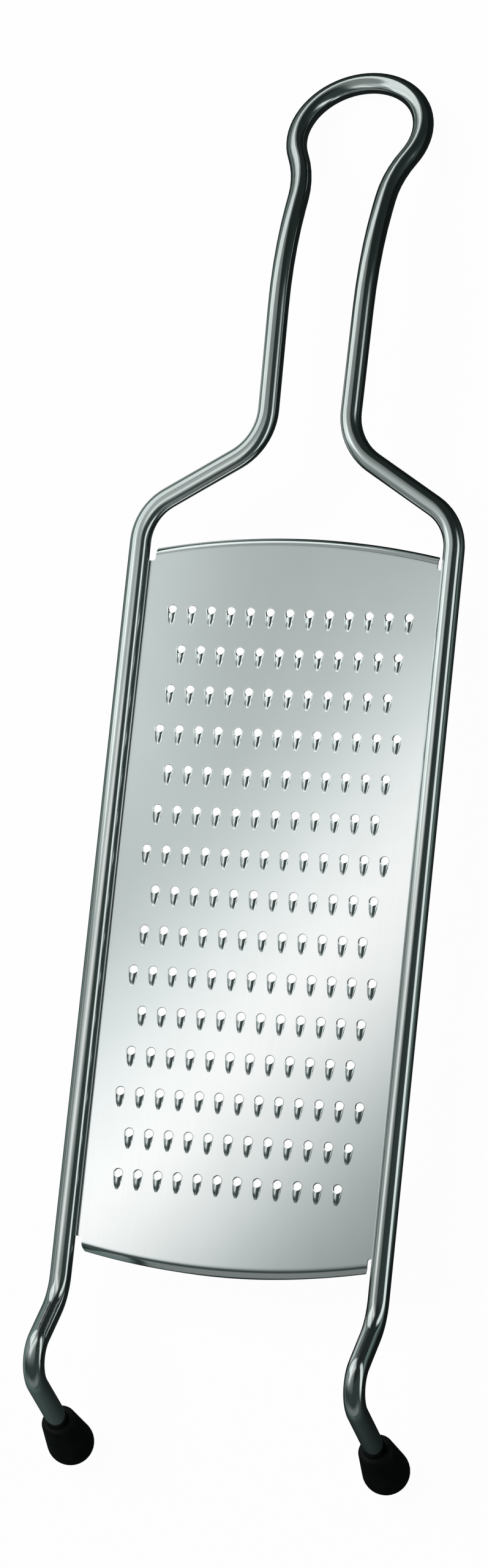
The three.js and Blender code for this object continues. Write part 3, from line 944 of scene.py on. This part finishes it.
def make_ceiling():
    """A panel over the plate, with a bright strip from lower left to upper right that the plate mirrors."""
    n, x, y, _ = new_card("ceiling", *CEILING_SIZE, CEILING_PLACE)
    from_x = n.math("SUBTRACT", x, STRIP_X)
    from_y = n.math("SUBTRACT", y, STRIP_Y)
    turn_cos, turn_sin = math.cos(STRIP_TURN), math.sin(STRIP_TURN)
    across = n.math("SUBTRACT", n.times(from_x, turn_cos), n.times(from_y, turn_sin))
    along = n.plus(n.times(from_x, turn_sin), n.times(from_y, turn_cos))

    # the panel is weaker below the strip, lighter in one corner, and fades on the right, in front, behind and left
    corner = n.times(n.spread(x, *CEILING_CORNER_ACROSS, smooth=True), window(n, y, *CEILING_CORNER_ALONG))
    past_edge = n.math("SUBTRACT", x, n.spread(y, *CEILING_RIGHT_EDGE))
    level = n.times(
        n.plus(n.spread(across, *CEILING_ACROSS, smooth=True), corner),
        n.spread(past_edge, *CEILING_RIGHT_FADE, smooth=True),
        n.spread(y, *CEILING_FRONT_FADE),
        n.spread(y, *CEILING_HANDLE_FADE, smooth=True),
        n.spread(x, *CEILING_LEFT_FADE, smooth=True),
    )
    strip = n.times(bell(n, across, STRIP_WIDTH), window(n, along, *STRIP_ENDS))
    pool_x = n.math("POWER", n.math("SUBTRACT", x, POOL_X), 2.0)
    pool_y = n.math("POWER", n.math("SUBTRACT", y, POOL_Y), 2.0)
    pool = bell(n, n.math("SQRT", n.plus(pool_x, pool_y)), POOL_WIDTH)
    level = n.math("MULTIPLY_ADD", strip, STRIP_LEVEL, level)
    level = n.math("MULTIPLY_ADD", pool, POOL_LEVEL, level)
    glow_through(n, level, n.mix_colour(n.math("POWER", strip, 2.0), STUDIO_TINT, STRIP_TINT))


def make_left_wall():
    """A pale wall on the left with a softbox towards the handle, whose lower edge rises to the back."""
    n, _, y, z = new_card("left_wall", *LEFT_WALL_SIZE, LEFT_WALL_PLACE, math.pi / 2)
    wall = n.times(window(n, y, *LEFT_WALL_ALONG), window(n, z, *LEFT_WALL_UP))
    above_edge = n.math("SUBTRACT", z, n.spread(y, *SOFTBOX_RISE))
    softbox = n.times(window(n, y, *SOFTBOX_ALONG), window(n, above_edge, *SOFTBOX_UP))
    glow_through(n, n.math("MULTIPLY_ADD", softbox, SOFTBOX_LEVEL, n.times(wall, LEFT_WALL_LEVEL)))


def make_right_panel():
    """A low leaning panel on the right, seen in first reflections only."""
    n, _, y, z = new_card("right_panel", *RIGHT_PANEL_SIZE, RIGHT_PANEL_PLACE, math.pi / 2)
    above_lean = n.math("SUBTRACT", z, n.math("MULTIPLY_ADD", y, RIGHT_PANEL_LEAN, RIGHT_PANEL_HEIGHT))
    panel = n.times(window(n, above_lean, *RIGHT_PANEL_UP), window(n, y, *RIGHT_PANEL_ALONG))
    first = n.math("LESS_THAN", n.add("ShaderNodeLightPath").outputs["Ray Depth"], FIRST_BOUNCE)
    glow_through(n, n.times(panel, first, RIGHT_PANEL_LEVEL))


def make_dark_card():
    """A dark card on the table that gives the wire its dark sides, lighter in patches away from the plate."""
    n, x, y, _ = new_card("dark_card", *DARK_CARD_SIZE, DARK_CARD_PLACE)
    left = n.plus(n.spread(x, *LEFT_GLOW), n.spread(x, *FAR_LEFT_GLOW))
    left = n.times(left, n.spread(y, *LEFT_GLOW_FADE))
    right = n.times(n.spread(x, *RIGHT_GLOW, smooth=True), window(n, y, *RIGHT_GLOW_ALONG))
    front = n.times(n.spread(y, *FRONT_GLOW), n.spread(x, *FRONT_GLOW_FADE))
    behind = n.times(window(n, x, *BEHIND_GLOW_ACROSS), window(n, y, *BEHIND_GLOW_ALONG))
    shade = n.add("ShaderNodeEmission")
    n.link(n.mix_colour(behind, ROOM_TINT, STUDIO_TINT), shade.inputs["Color"])
    glow = n.plus(left, right, n.math("MULTIPLY_ADD", behind, BEHIND_GLOW_LEVEL, front))
    n.link(glow, shade.inputs["Strength"])

    # it is cut out under the plate, where the pale table shows in the holes
    cut = n.add("ShaderNodeMixShader")
    n.link(n.times(window(n, x, *CUT_OUT_ACROSS), window(n, y, *CUT_OUT_ALONG)), cut.inputs[0])
    n.link(shade.outputs[0], cut.inputs[1])
    n.link(n.add("ShaderNodeBsdfTransparent").outputs[0], cut.inputs[2])
    n.link(cut.outputs[0], n.add("ShaderNodeOutputMaterial").inputs["Surface"])


def make_room():
    """The dark rest of the room, darkest behind the handle and lightest low down in front."""
    world = bpy.data.worlds.new("room")
    bpy.context.scene.world = world
    world.use_nodes = True
    n = Nodes(world.node_tree)
    direction = n.add("ShaderNodeSeparateXYZ")
    n.link(n.add("ShaderNodeTexCoord").outputs["Generated"], direction.inputs[0])
    dx, dy, dz = direction.outputs
    off_back = n.math("ABSOLUTE", n.math("DEGREES", n.math("ARCTAN2", dx, dy)))
    front = n.times(n.spread(off_back, *FRONT_AROUND, smooth=True), n.spread(dz, *FRONT_UP, smooth=True))
    background = n.add("ShaderNodeBackground")
    n.link(n.mix_colour(front, ROOM_TINT, STUDIO_TINT), background.inputs["Color"])
    level = n.math("MULTIPLY_ADD", front, FRONT_LEVEL, n.spread(off_back, *ROOM_AROUND, smooth=True))
    n.link(level, background.inputs["Strength"])
    n.link(background.outputs[0], n.add("ShaderNodeOutputWorld").inputs["Surface"])


def make_lamp():
    lamp = bpy.data.lights.new("soft_lamp", "AREA")
    lamp.shape = "DISK"
    lamp.size = LAMP_SIZE
    lamp.energy = LAMP_POWER
    place = bpy.data.objects.new("soft_lamp", lamp)
    place.location = LAMP_PLACE
    place.rotation_euler = (-LAMP_PLACE).to_track_quat("-Z", "Y").to_euler()
    place.visible_glossy = False
    bpy.context.scene.collection.objects.link(place)


def make_camera():
    camera = bpy.data.cameras.new("camera")
    camera.sensor_fit = "VERTICAL"
    camera.sensor_height = SENSOR_HEIGHT
    camera.lens = LENS
    camera.clip_end = CLIP_END
    place = bpy.data.objects.new("camera", camera)
    turn = Matrix((CAMERA_RIGHT, CAMERA_UP, CAMERA_BACK)).transposed().to_4x4()
    spot = CAMERA_PLACE + Vector((0, ROWS_Y, FACE_Z))
    place.matrix_world = Matrix.Translation(spot) @ turn
    bpy.context.scene.collection.objects.link(place)
    bpy.context.scene.camera = place


make_table()
make_ceiling()
make_left_wall()
make_right_panel()
make_dark_card()
make_room()
make_lamp()
make_camera()
bpy.context.scene.view_settings.view_transform = "Standard"
